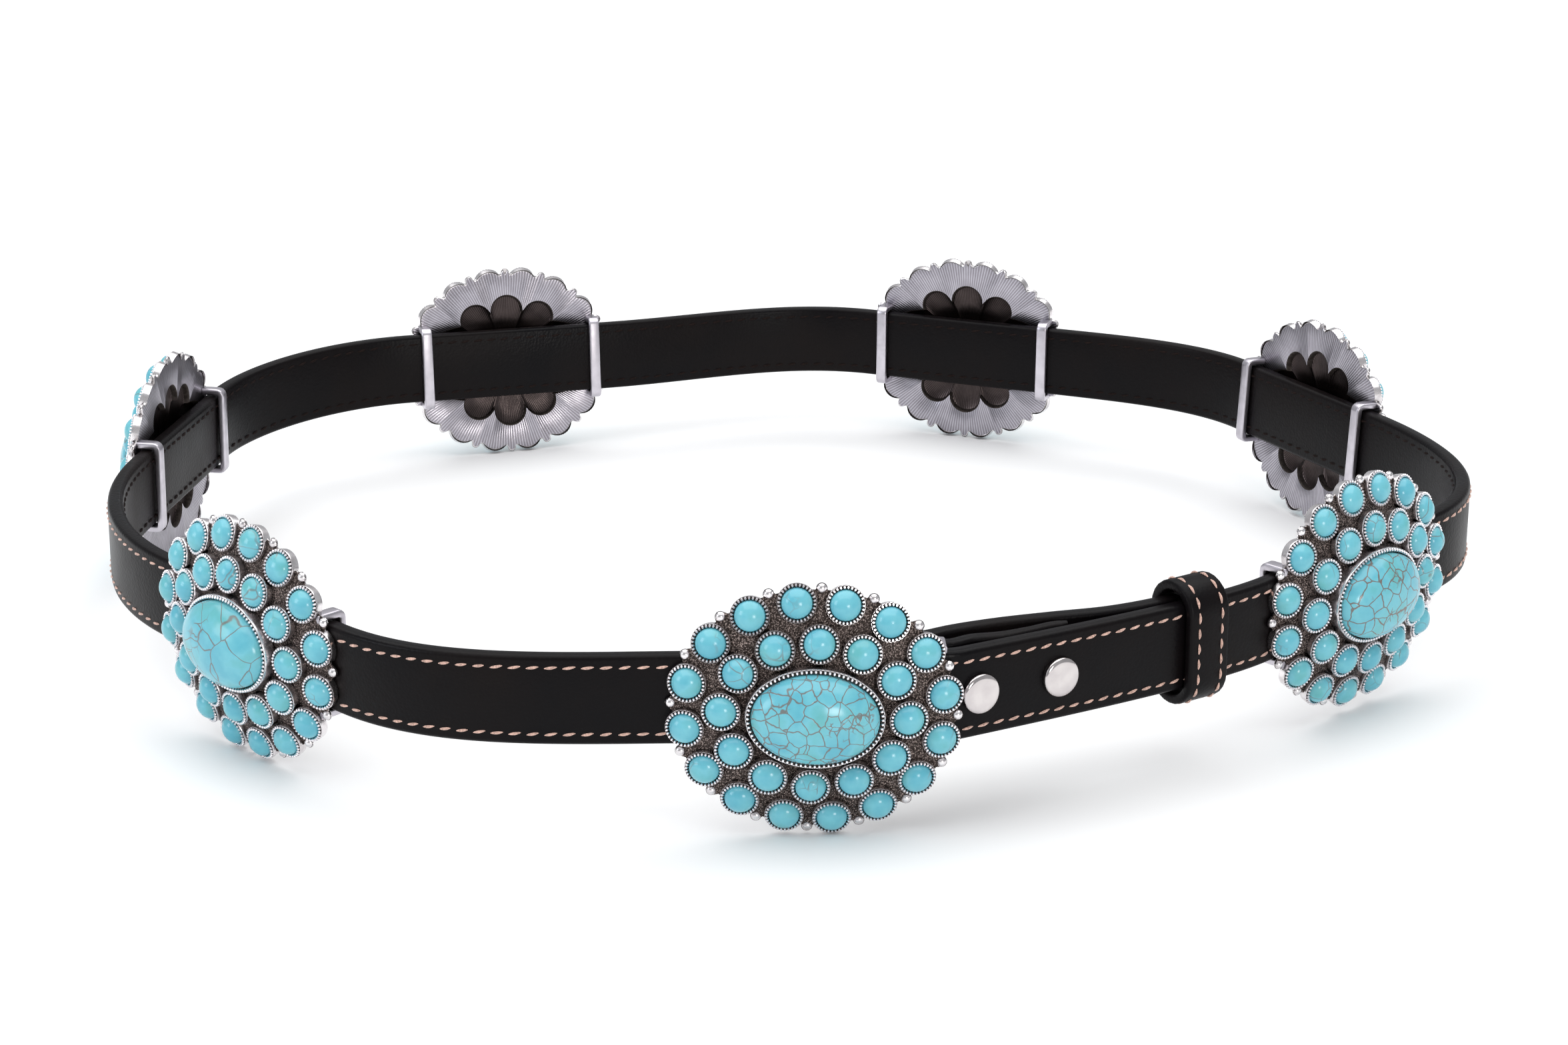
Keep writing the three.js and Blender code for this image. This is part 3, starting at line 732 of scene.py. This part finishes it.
def roundedSection(halfWide, halfThick, edge, cornerSteps=3):
    # counterclockwise corners of a flat bar with rounded edges
    points = []
    flatWide, flatThick = halfWide - edge, halfThick - edge
    for cx, cy, start in ((1, 1, 0), (-1, 1, 90), (-1, -1, 180), (1, -1, 270)):
        for k in range(cornerSteps + 1):
            angle = math.radians(start + 90 * k / cornerSteps)
            points.append((cx * flatWide + edge * math.cos(angle), cy * flatThick + edge * math.sin(angle)))
    return points


def strapRise(along):
    # how far the level strap climbs behind the tipped buckle
    half = layout["straightBehindConcho"]
    return layout["barRise"] * (along + half) / (stapleLook["fromMiddle"] + half)


def addStaple(parts, fromMiddle, rise=0):
    high, deep, bend = layout["legHeight"], layout["barDepth"], stapleLook["bend"]
    path = [(high, 5.2), (high, deep - bend)]
    for k in range(1, 6):
        angle = math.radians(90 * k / 5)
        path.append((high - bend + bend * math.cos(angle), deep - bend + bend * math.sin(angle)))
    path += [(-z, y) for z, y in reversed(path)]
    rings = []
    for i, (z, y) in enumerate(path):
        z0, y0 = path[max(i - 1, 0)]
        z1, y1 = path[min(i + 1, len(path) - 1)]
        forward = Vector((0, y1 - y0, z1 - z0)).normalized()
        side = Vector((1, 0, 0))
        outer = forward.cross(side)
        ring = []
        for a, b in roundedSection(stapleLook["halfWidth"], stapleLook["halfThickness"], stapleLook["edge"]):
            ring.append(Vector((fromMiddle, y, z + rise)) + side * a + outer * b)
        rings.append(ring)
    addRings(parts, rings, wireFace, capStart=True, capEnd=True)


def addHook(parts):
    # a plain peg with a finger towards the incoming strap
    path = [(-12.1, 2.9), (-12.1, 10.6), (-12.4, 11.3), (-13.1, 11.55), (-19.2, 11.55)]
    rise = strapRise(path[0][0])
    rings = []
    for i, (x, y) in enumerate(path):
        x0, y0 = path[max(i - 1, 0)]
        x1, y1 = path[min(i + 1, len(path) - 1)]
        forward = Vector((x1 - x0, y1 - y0, 0)).normalized()
        up = Vector((0, 0, 1))
        side = forward.cross(up)
        rings.append([Vector((x, y, rise)) + side * a + up * b for a, b in roundedSection(1.2, 1.2, 0.5)])
    addRings(parts, rings, wireFace, capStart=True, capEnd=True)


def castingParts(isBuckle):
    parts = newParts()
    addPlate(parts)
    for row in cupRows:
        for x, z in evenlyRoundOval(row["halfWidth"], row["halfHeight"], row["count"], row["firstStep"]):
            addCup(parts, x, z, row)
    addBezel(parts)
    addKnobs(parts)
    addStaple(parts, stapleLook["fromMiddle"], layout["barRise"] if isBuckle else 0)
    if isBuckle:
        addHook(parts)
    else:
        addStaple(parts, -stapleLook["fromMiddle"])
    return parts


def smallStoneParts():
    parts = newParts()
    for row in cupRows:
        for x, z in evenlyRoundOval(row["halfWidth"], row["halfHeight"], row["count"], row["firstStep"]):
            addSmallStone(parts, x, z, row)
    return parts


def centreStoneParts():
    parts = newParts()
    wide, high = bezelLook["stoneHalfWidth"], bezelLook["stoneHalfHeight"]
    girdle, top, steps = 0.1, bezelLook["stoneTop"], bezelLook["steps"]
    rings = [ovalRing(wide, high, 1.2, steps)]
    for k in range(bezelLook["stoneRows"]):
        tilt = math.pi / 2 * k / bezelLook["stoneRows"]
        spread = math.cos(tilt)
        rings.append(ovalRing(wide * spread, high * spread, girdle - (top + girdle) * math.sin(tilt), steps))
    rings.append(ovalRing(0.1, 0.08, -top, steps))
    addRings(parts, rings, 0, capStart=True, capEnd=True)
    return parts


plainCasting, smallStones, centreStone = castingParts(False), smallStoneParts(), centreStoneParts()
for name in conchoPlaces:
    matrix = placeMatrix(name)
    isBuckle = name == "buckle"
    label = "".join(word.capitalize() if i else word for i, word in enumerate(name.split("_")))
    castNode = "buckle" if isBuckle else "concho_" + name
    casting = castingParts(True) if isBuckle else plainCasting
    makePiece(label + "Casting", casting, silverFinishes, [castNode], matrix)
    makePiece(label + "SmallStones", smallStones, [smallTurquoise], [], matrix)
    finish = centreFinishes[name]
    makePiece(label + "CentreStone", centreStone, [finish], [name + "_stone"], matrix)
print("conchos made")


# Strap

strapLook = {
    "width": 18,
    "thickness": 3.4,
    "edge": 1.0,
    "rowEvery": 2.0,
    "foldSteps": 18,
    "holes": 4,
    "firstHole": -12.1,  # on the hook
    "holePitch": 25,
    "holeRadius": 2.1,
    "stitchPitch": 3.5,
    "stitchLength": 2.5,
    "stitchRadius": 0.3,
    "stitchInset": 2.3,
    "stitchSlant": 9,
}
rivetAlong = {"rivet_1": 31, "rivet_2": 49.3}
# along, inward, width, thickness
turnedEnd = [(24.5, 5.32, 18, 2.8), (26.55, 5.14, 18, 3.0), (33.6, 5.2, 18, 3.0), (39.0, 3.7, 18, 3.0),
             (45.5, 3.4, 18, 2.4), (52.5, 3.4, 18, 2.4), (54.0, 2.9, 18, 1.4)]
freeEnd = [(-8, 0, 18, 3.4), (2, 2.6, 18, 3.4), (12, 7.2, 18, 3.4), (22, 10.2, 18, 3.4),
           (32, 11.4, 18, 3.4), (42, 10.6, 18, 3.4), (54, 8.2, 18, 3.4), (66, 5.2, 18, 3.4),
           (76, 4.2, 18, 3.4), (82, 4.1, 18, 3.4), (85, 4.1, 15, 3.4), (86.5, 4.1, 9, 3.4)]


def onStrap(name, along):
    rise = strapRise(along) if name == "buckle" else 0
    return placeMatrix(name) @ Vector((along, layout["strapDepth"], rise))


def strapDirections(name):
    forward = (onStrap(name, 1) - onStrap(name, 0)).normalized()
    up = placeMatrix(name).to_3x3() @ Vector((0, 0, 1))
    return forward, (up - forward * up.dot(forward)).normalized()


def turnAfterBar(name, steps):
    # short arc that takes the strap back right after the buckle's bar
    forward, up = strapDirections(name)
    inward = up.cross(forward).normalized()
    start = onStrap(name, layout["turnStart"])
    radius, turn = layout["turnRadius"], math.radians(layout["turn"])
    points = []
    for i in range(steps + 1):
        angle = turn * i / steps
        ahead, aside = radius * math.sin(angle), radius * (1 - math.cos(angle))
        points.append(start + forward * ahead + inward * aside)
    return points, forward * math.cos(turn) + inward * math.sin(turn)


def waistLine():
    # straight behind each concho, one smooth bend between two of them
    names = list(conchoPlaces)
    half = layout["straightBehindConcho"]
    samples = []
    for index, name in enumerate(names):
        nextName = names[(index + 1) % len(names)]
        leaving, up = strapDirections(name)
        arriving, nextUp = strapDirections(nextName)
        samples.append([onStrap(name, -half), up])
        samples.append([onStrap(name, 0), up])
        start, end = onStrap(name, half), onStrap(nextName, -half)
        handles = (layout["bendHandle"], layout["bendHandle"])
        if name == "buckle":
            points, leaving = turnAfterBar(name, layout["turnSteps"])
            samples.extend([point, up] for point in points[:-1])
            start = points[-1]
            handles = layout["turnHandles"]
        chord = (end - start).length
        handleStart = start + leaving * (handles[0] * chord)
        handleEnd = end - arriving * (handles[1] * chord)
        for i in range(layout["bendSamples"] + 1):
            t = i / layout["bendSamples"]
            point = (start * (1 - t)**3 + handleStart * (3 * t * (1 - t)**2)
                     + handleEnd * (3 * t * t * (1 - t)) + end * t**3)
            samples.append([point, up.lerp(nextUp, t).normalized()])
    samples.append(samples.pop(0))
    length = 0.0
    for i, sample in enumerate(samples):
        sample.append(length)
        length += (samples[(i + 1) % len(samples)][0] - sample[0]).length
    return samples, length


waist, waistLength = waistLine()
print("loop length in mm", round(waistLength, 1))


def waistAt(distance):
    along = distance % waistLength
    low, high = 0, len(waist) - 1
    while low < high:
        middle = (low + high + 1) // 2
        if waist[middle][2] <= along:
            low = middle
        else:
            high = middle - 1
    count = len(waist)
    before, here, nextOne, after = (waist[(low + k) % count] for k in (-1, 0, 1, 2))
    share = (along - here[2]) / max((nextOne[0] - here[0]).length, 1e-9)
    chord = (nextOne[0] - here[0]).normalized()
    entering = ((here[0] - before[0]).normalized() + chord).normalized()
    leaving = ((after[0] - nextOne[0]).normalized() + chord).normalized()
    forward = entering.lerp(leaving, share).normalized()
    up = here[1].lerp(nextOne[1], share).normalized()
    inward = up.cross(forward).normalized()
    return here[0].lerp(nextOne[0], share), forward, up, inward


def rowAt(along, inward, width, thickness):
    point, forward, up, inside = waistAt(along)
    return point + inside * inward, up, width, thickness


def splined(keys, first, last, step):
    # finer rows on a smooth curve through the key rows, from the first to the last
    rows = []
    for i in range(first, last):
        low, high = keys[i], keys[i + 1]
        chord = high[0] - low[0]
        slopes = []
        for far, towards in ((keys[max(i - 1, 0)], 1), (keys[min(i + 2, len(keys) - 1)], -1)):
            near = low if towards == 1 else high
            other = (near[0] - far[0]) * towards
            if other.length < 1e-6:
                slopes.append(chord)
                continue
            share = chord.length / (chord.length + other.length)
            slopes.append(other.normalized().lerp(chord.normalized(), 1 - share) * chord.length)
        count = max(1, round(chord.length / step))
        for k in range(count):
            t = k / count
            point = (low[0] * (2 * t**3 - 3 * t**2 + 1) + slopes[0] * (t**3 - 2 * t**2 + t)
                     + high[0] * (3 * t**2 - 2 * t**3) + slopes[1] * (t**3 - t**2))
            sizes = (low[column] + (high[column] - low[column]) * t for column in (2, 3))
            rows.append((point, low[1].lerp(high[1], t).normalized(), *sizes))
    rows.append(keys[last])
    return rows


def bandRows():
    foldRadius = layout["barDepth"] - layout["strapDepth"]
    foldCentre = stapleLook["fromMiddle"] - 1.1
    full = (strapLook["width"], strapLook["thickness"])
    fold = []
    for i in range(strapLook["foldSteps"] + 1):
        angle = math.pi * i / strapLook["foldSteps"]
        along = foldCentre - foldRadius * math.sin(angle)
        fold.append(rowAt(along, foldRadius * (1 + math.cos(angle)), *full))
    turnedKeys = [rowAt(*row) for row in reversed(turnedEnd)] + fold[:2]
    rows = splined(turnedKeys, 0, len(turnedEnd), 1.2)[:-1] + fold
    along = foldCentre + 1.4
    last = waistLength + freeEnd[0][0]
    while along < last - 1:
        rows.append(rowAt(along, 0, *full))
        nearTurn = layout["turnStart"] - 1 < along < layout["turnStart"] + 5
        along += 0.6 if nearTurn else strapLook["rowEvery"]
    freeKeys = [rowAt(last - 4, 0, *full), rowAt(last - 2, 0, *full)]
    freeKeys += [rowAt(row[0] + waistLength, *row[1:]) for row in freeEnd]
    return rows + splined(freeKeys, 2, len(freeKeys) - 1, 1.5)


def bandFrames(rows):
    frames = []
    for i, (centre, up, width, thickness) in enumerate(rows):
        before, after = rows[max(i - 1, 0)][0], rows[min(i + 1, len(rows) - 1)][0]
        forward = (after - before).normalized()
        side = up.cross(forward).normalized()
        frames.append((centre, forward, side, forward.cross(side), width, thickness))
    return frames


strapFrames = bandFrames(bandRows())


def strapParts():
    parts = newParts()
    rings = []
    for centre, forward, side, up, width, thickness in strapFrames:
        section = roundedSection(thickness / 2, width / 2, min(strapLook["edge"], thickness * 0.35), 4)
        rings.append([centre + side * a + up * b for a, b in section])
    addRings(parts, rings, 0, capStart=True, capEnd=True)
    return parts


def holeCutter(name, along, inwardFrom, inwardTo, radius=strapLook["holeRadius"]):
    point, forward, up, inward = waistAt(along)
    depth = inwardTo - inwardFrom
    bpy.ops.mesh.primitive_cylinder_add(vertices=24, radius=radius * mm, depth=depth * mm)
    cutter = bpy.context.object
    cutter.name = name
    middle = point + inward * (inwardFrom + inwardTo) / 2
    facing = inward.to_track_quat("Z", "Y").to_matrix().to_4x4()
    cutter.matrix_world = Matrix.Translation(middle * mm) @ facing
    return cutter


strap = makePiece("strapLeather", strapParts(), [leather], ["strap"])
cutters = []
thick = strapLook["thickness"]
for i in range(strapLook["holes"]):
    along = strapLook["firstHole"] + strapLook["holePitch"] * i
    inward = between(freeEnd, along, 1)
    cutters.append(holeCutter("punch", along + waistLength, inward - thick, inward + thick))
for along in rivetAlong.values():
    cutters.append(holeCutter("rivetHole", along, -thick, 7.5, 1.9))
bpy.ops.object.select_all(action="DESELECT")
for cutter in cutters:
    cut = strap.modifiers.new("hole", "BOOLEAN")
    cut.operation = "DIFFERENCE"
    cut.object = cutter
    cut.solver = "EXACT"
    bpy.context.view_layer.objects.active = strap
    bpy.ops.object.modifier_apply(modifier=cut.name)
for cutter in cutters:
    bpy.data.objects.remove(cutter, do_unlink=True)
strap.data.shade_smooth()
strap.data.set_sharp_from_angle(angle=math.radians(45))
print("strap made")


# Stitching

def stitchShape():
    # one stitch: a short spindle that dives into the leather at both ends
    rings = []
    for k in range(7):
        t = k / 6
        radius = (0.35 + 0.65 * math.sin(math.pi * t)) * strapLook["stitchRadius"]
        height = 0.75 * strapLook["stitchRadius"] * math.sin(math.pi * t) - 0.12
        rings.append((t - 0.5, radius, height))
    return rings


def addStitch(parts, centre, forward, outward, length):
    up = outward.cross(forward)
    rings = []
    for t, radius, height in stitchShape():
        middle = centre + forward * (t * length) + outward * height
        turns = [math.pi * i / 3 for i in range(6)]
        rings.append([middle + up * (radius * math.cos(turn)) + outward * (radius * math.sin(turn))
                      for turn in turns])
    addRings(parts, rings, 0, capStart=True, capEnd=True)


def stitchAlongBand(parts, frames, face, edgeSign):
    # walks along the band's face and sets a stitch at every pitch
    track = []
    for centre, forward, side, up, width, thickness in frames:
        fromMiddle = edgeSign * (width / 2 - strapLook["stitchInset"])
        point = centre + side * (face * thickness / 2) + up * fromMiddle
        track.append((point, forward, side * face, up))
    travelled = 0.0
    wanted = strapLook["stitchPitch"]
    for i in range(len(track) - 1):
        span = (track[i + 1][0] - track[i][0]).length
        while span > 0 and travelled + span >= wanted:
            share = (wanted - travelled) / span
            point = track[i][0].lerp(track[i + 1][0], share)
            forward = track[i][1].lerp(track[i + 1][1], share).normalized()
            outward = track[i][2].lerp(track[i + 1][2], share).normalized()
            up = outward.cross(forward)
            slant = math.radians(strapLook["stitchSlant"] + dice.uniform(-3, 3))
            direction = (forward * math.cos(slant) + up * math.sin(slant)).normalized()
            addStitch(parts, point, direction, outward, strapLook["stitchLength"] + dice.uniform(-0.15, 0.15))
            wanted += strapLook["stitchPitch"]
        travelled += span


for name, face, finish in (("outer", -1, thread), ("inner", 1, innerThread)):
    stitches = newParts()
    for edgeSign in (-1, 1):
        stitchAlongBand(stitches, strapFrames[2:-8], face, edgeSign)
    makePiece(name + "Stitches", stitches, [finish])
print("stitches made")


# Keeper

keeperLook = {"along": 84, "inward": 2.05, "width": 10, "wall": 2.1, "halfDepth": 4.3, "halfHeight": 10.9,
              "stitchRow": 2.9, "stitchLength": 2.3, "stitchPitch": 3.2}


def keeperPath(out, steps=12):
    # middle line of the loop, pushed outward by out: (inward, up) pairs with their outward directions
    radius = keeperLook["halfDepth"] + out
    straight = keeperLook["halfHeight"] - keeperLook["halfDepth"]
    path = []
    for sign in (1, -1):
        for k in range(steps + 1):
            angle = math.pi * k / steps
            a = Vector((sign * radius * math.cos(angle), sign * (straight + radius * math.sin(angle))))
            path.append((a, Vector((sign * math.cos(angle), sign * math.sin(angle)))))
    return path


keeperPoint, keeperForward, keeperUp, keeperInward = waistAt(keeperLook["along"])
keeperMiddle = keeperPoint + keeperInward * keeperLook["inward"]
keeperHigh = keeperForward.cross(keeperInward)


def onKeeper(flat, forwardShift):
    return keeperMiddle + keeperInward * flat.x + keeperHigh * flat.y + keeperForward * forwardShift


def keeperParts():
    parts = newParts()
    section = roundedSection(keeperLook["width"] / 2, keeperLook["wall"] / 2, 0.7, 3)
    rings = []
    for flat, out in keeperPath(keeperLook["wall"] / 2):
        rings.append([onKeeper(flat + out * b, a) for a, b in section])
    rings.append(rings[0])
    addRings(parts, rings, 0)
    return parts


makePiece("keeperLeather", keeperParts(), [keeperLeather], ["keeper"])
keeperStitches = newParts()
for shift in (-keeperLook["stitchRow"], keeperLook["stitchRow"]):
    outline = keeperPath(keeperLook["wall"], 24)
    outline.append(outline[0])
    travelled, wanted = 0.0, 1.0
    for i in range(len(outline) - 1):
        here, there = onKeeper(outline[i][0], shift), onKeeper(outline[i + 1][0], shift)
        span = (there - here).length
        while span > 0 and travelled + span >= wanted:
            share = (wanted - travelled) / span
            flatOut = outline[i][1].lerp(outline[i + 1][1], share)
            outward = (keeperInward * flatOut.x + keeperHigh * flatOut.y).normalized()
            direction = (there - here).normalized()
            addStitch(keeperStitches, here.lerp(there, share), direction, outward, keeperLook["stitchLength"])
            wanted += keeperLook["stitchPitch"]
        travelled += span
makePiece("keeperStitches", keeperStitches, [thread])
print("keeper made")


# Rivets

rivetLook = {
    "capRadius": 4.0,
    "front": 1.72,  # underside of the cap
    "top": 3.2,
    "postRadius": 1.5,
    "backRadius": 2.8,
    "backHeight": 0.9,
}


def rivetParts(along):
    parts = newParts()
    point, forward, up, inward = waistAt(along)
    behind = -(between(turnedEnd, along, 1) + between(turnedEnd, along, 3) / 2 + 0.1)
    cap, front, top = rivetLook["capRadius"], rivetLook["front"], rivetLook["top"]
    post, back = rivetLook["postRadius"], rivetLook["backRadius"]
    profile = [
        (0.2, behind - rivetLook["backHeight"]), (back - 0.5, behind - 0.85), (back, behind - 0.45),
        (back, behind), (post, behind), (post, front), (cap - 0.1, front), (cap, front + 0.14),
        (cap, top - 0.75), (cap - 0.06, top - 0.55), (cap - 0.22, top - 0.36), (cap - 0.5, top - 0.22),
        (cap - 0.95, top - 0.13), (cap - 1.8, top - 0.05), (0.3, top),
    ]
    addRings(parts, turned(profile, point, forward, up, inward * -1, 48), 0, capStart=True, capEnd=True)
    return parts


for name, along in rivetAlong.items():
    makePiece(name + "Cap", rivetParts(along), [nickel], [name])
print("rivets made")


# Floor, light and camera

stageLook = {
    "floor": (0.93, 0.93, 0.93),
    "world": (0.95, 0.97, 1.0),
    "worldStrength": 0.45,
}

bpy.ops.mesh.primitive_plane_add(size=12, location=(0, 0, -0.0001))
floor = bpy.context.object
floor.name = "floor"
floorFinish = newFinish("paleFloor")
setValue(floorFinish, "Base Color", (*stageLook["floor"], 1))
setValue(floorFinish, "Roughness", 0.9)
floor.data.materials.append(floorFinish["material"])

world = bpy.data.worlds.new("softRoom")
bpy.context.scene.world = world
world.use_nodes = True
background = world.node_tree.nodes["Background"]
background.inputs["Color"].default_value = (*stageLook["world"], 1)
background.inputs["Strength"].default_value = stageLook["worldStrength"]

softBoxes = {
    "overhead": {"at": (0, 0.3, 2.2), "size": 3.5, "power": 75, "colour": (1.0, 1.0, 1.0)},
    "keyLight": {"at": (0.45, -1.2, 0.3), "size": 0.3, "power": 3.2, "colour": (1.0, 0.97, 0.93)},
    "leftLight": {"at": (-1.1, -0.5, 0.5), "size": 0.5, "power": 3.0, "colour": (0.9, 0.94, 1.0)},
}
for name, box in softBoxes.items():
    light = bpy.data.lights.new(name, "AREA")
    light.size = box["size"]
    light.energy = box["power"]
    light.color = box["colour"]
    lamp = bpy.data.objects.new(name, light)
    lamp.location = box["at"]
    lamp.rotation_euler = (Vector((0, 0, 0.03)) - Vector(box["at"])).to_track_quat("-Z", "Y").to_euler()
    bpy.context.scene.collection.objects.link(lamp)

view = {"at": (2.76, -592.48, 230.19), "down": 19.676, "roll": -0.017, "lens": 62.33}
camera = bpy.data.objects.new("camera", bpy.data.cameras.new("camera"))
camera.data.lens = view["lens"]
camera.data.sensor_width = 36
turn = Matrix.Rotation(math.radians(90 - view["down"]), 4, "X")
turn @= Matrix.Rotation(math.radians(view["roll"]), 4, "Z")
camera.matrix_world = Matrix.Translation(Vector(view["at"]) * mm) @ turn
bpy.context.scene.collection.objects.link(camera)
bpy.context.scene.camera = camera
bpy.context.scene.view_settings.view_transform = "Standard"
print("stage set")

bpy.context.view_layer.update()
